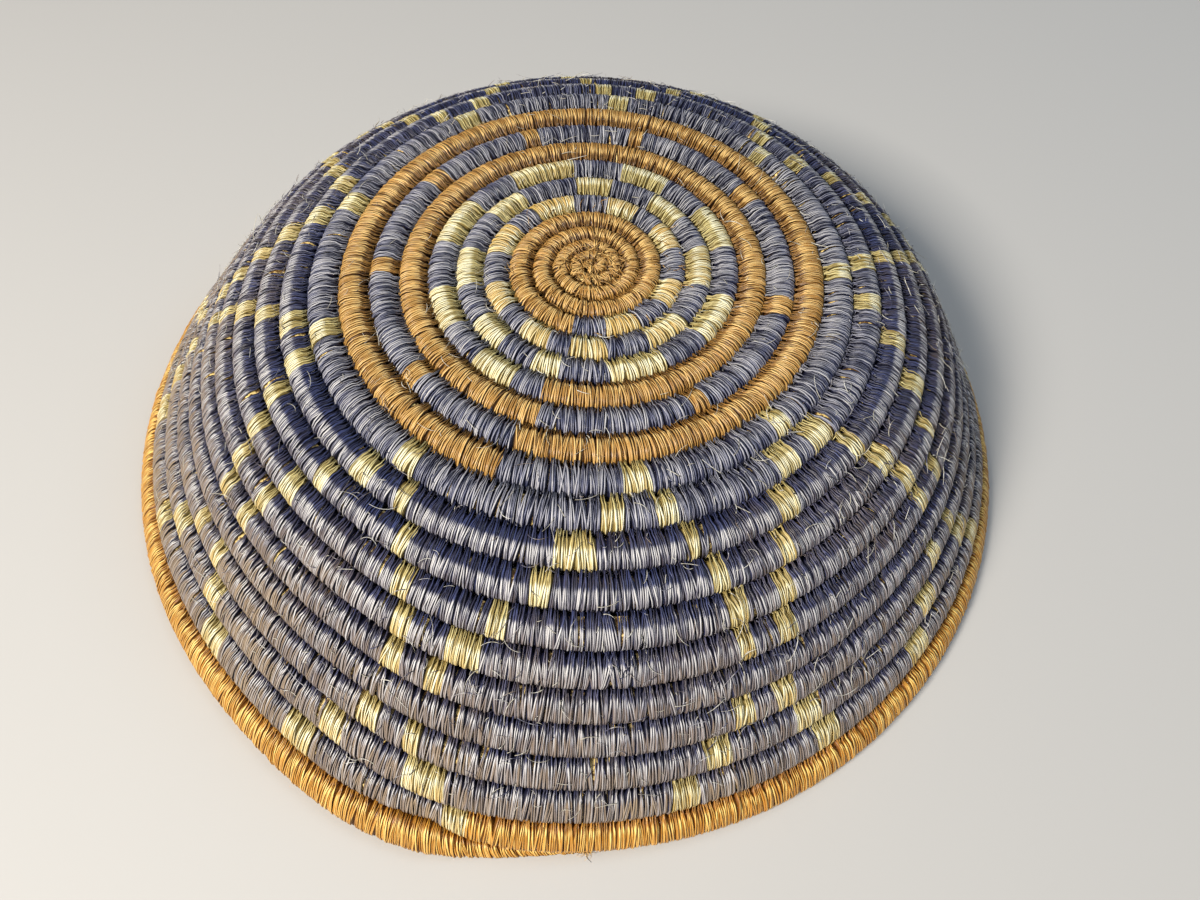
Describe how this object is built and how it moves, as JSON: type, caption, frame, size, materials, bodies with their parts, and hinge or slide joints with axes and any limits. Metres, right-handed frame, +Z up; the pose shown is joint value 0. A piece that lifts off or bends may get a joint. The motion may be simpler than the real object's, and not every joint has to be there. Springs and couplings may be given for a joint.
{
  "type": "coiled bowl basket",
  "caption": "Shallow coiled grass bowl basket with a flat base and flared wall, sewn with dyed strands; lies on its rim or hangs on a wall.",
  "frame": {"origin": "middle of the bowl's outline on the plane that the rim rests on", "axes": "+Z up from the rim to the base, -Y towards the line where the rounds start and the tail ends"},
  "size_m": [0.3018, 0.303, 0.0749],
  "materials": {
    "grass": "dry grass stems, matt with a slight straw sheen",
    "brown": "caramel brown dyed plant fibre, fine fibres along each stitch",
    "indigo": "grey indigo dyed plant fibre, silky with pale streaks",
    "cream": "undyed pale straw plant fibre, silky",
    "tan": "golden tan plant fibre, silky"
  },
  "bodies": {
    "root": {"grass_core": "grass", "centre_round_1": "brown", "centre_round_2": "brown", "centre_round_3": "brown", "centre_round_4": "brown", "checker_round_1": "cream", "checker_round_2": "cream", "checker_round_3": "cream", "inner_ring": "brown", "fleck_ring": "indigo", "outer_ring": "brown", "wall_round_01": "indigo", "wall_round_02": "indigo", "wall_round_03": "indigo", "wall_round_04": "indigo", "wall_round_05": "indigo", "wall_round_06": "indigo", "wall_round_07": "indigo", "wall_round_08": "indigo", "wall_round_09": "indigo", "wall_round_10": "indigo", "rim_round": "tan", "finishing_knot": "tan"}
  },
  "joints": []
}
